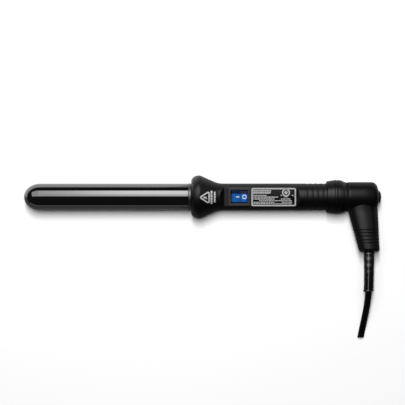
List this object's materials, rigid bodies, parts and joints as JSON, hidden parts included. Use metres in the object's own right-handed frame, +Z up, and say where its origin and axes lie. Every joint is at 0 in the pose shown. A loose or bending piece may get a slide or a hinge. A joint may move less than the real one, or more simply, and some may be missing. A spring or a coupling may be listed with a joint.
{
  "type": "curling wand",
  "caption": "Straight curling wand with a closed round barrel, flared heat guard, two-part handle with rocker switch, and a swivelling cord elbow.",
  "frame": {"origin": "centre of the bounding box, at the table plane the guard rests on", "axes": "+X along the wand from barrel tip to swivel, -Y the way the cord leaves, +Z up, out of the switch and label face"},
  "size_m": [0.332, 0.1522, 0.0401],
  "materials": {
    "barrel_coat": "gloss black ceramic coat on aluminium",
    "trim_metal": "satin",
    "handle_black": "fine matt moulded plastic",
    "collar_black": "satin moulded plastic",
    "label_film": "satin black label film",
    "switch_black": "satin moulded plastic",
    "rocker_blue": "gloss blue",
    "heater_alu": "extruded",
    "ptc_ceramic": "fired",
    "contact_brass": "rolled",
    "spring_steel": "bright",
    "screw_steel": "zinc plated",
    "phenolic_brown": "heat resistant moulding",
    "mica_sheet": "mica",
    "natural_nylon": "natural nylon",
    "cord_rubber": "satin cord sheath",
    "core_brown": "insulated core",
    "core_blue": "insulated core"
  },
  "bodies": {
    "wand": {"barrel": "barrel_coat", "barrel_trim_ring": "trim_metal", "heat_spreader_upper": "heater_alu", "heat_spreader_lower": "heater_alu", "ptc_chip_1": "ptc_ceramic", "ptc_chip_2": "ptc_ceramic", "ptc_chip_3": "ptc_ceramic", "electrode_strip_upper": "contact_brass", "electrode_strip_lower": "contact_brass", "thermal_fuse": "spring_steel", "barrel_socket": "phenolic_brown", "mica_washer": "mica_sheet", "barrel_screw_1": "screw_steel", "barrel_screw_2": "screw_steel", "handle_shell_top": "handle_black", "handle_shell_bottom": "handle_black", "handle_screw_1": "screw_steel", "handle_screw_2": "screw_steel", "handle_screw_3": "screw_steel", "rating_label": "label_film", "switch_housing": "switch_black", "switch_terminal_line": "contact_brass", "switch_terminal_load": "contact_brass", "receptacle_line": "spring_steel", "receptacle_load": "spring_steel", "rear_collar": "collar_black", "swivel_contact_carrier": "phenolic_brown", "brush_line": "contact_brass", "brush_neutral": "contact_brass", "wire_line": "core_brown", "wire_load": "core_brown", "wire_neutral": "core_blue"},
    "rocker": {"rocker": "rocker_blue", "switch_plunger": "spring_steel", "switch_spring": "spring_steel"},
    "contact_blade": {"contact_blade": "contact_brass"},
    "cord_elbow": {"swivel_spindle": "natural_nylon", "slip_ring_line": "contact_brass", "slip_ring_neutral": "contact_brass", "spindle_nut": "screw_steel", "swivel_washer": "cord_rubber", "elbow_housing": "collar_black", "elbow_cap": "collar_black", "cord_clamp": "natural_nylon", "cord_sleeve": "cord_rubber", "cord_jacket": "cord_rubber", "core_line": "core_brown", "core_neutral": "core_blue"}
  },
  "joints": [
    {"name": "rocker_tilt", "type": "hinge", "parent": "wand", "child": "rocker", "pos_m": [0.0339, 0.05602, 0.02635], "axis": [0, -1, 0], "range_deg": [0, 22]},
    {"name": "contact_blade_tilt", "type": "hinge", "parent": "wand", "child": "contact_blade", "pos_m": [0.0339, 0.05602, 0.0203], "axis": [0, 1, 0], "range_deg": [0, 12]},
    {"name": "cord_swivel", "type": "hinge", "parent": "wand", "child": "cord_elbow", "pos_m": [0.1346, 0.05602, 0.02005], "axis": [-1, 0, 0], "continuous": true}
  ],
  "couplings": [
    {"joint": "contact_blade_tilt", "follows": "rocker_tilt", "ratio": 0.5454}
  ]
}
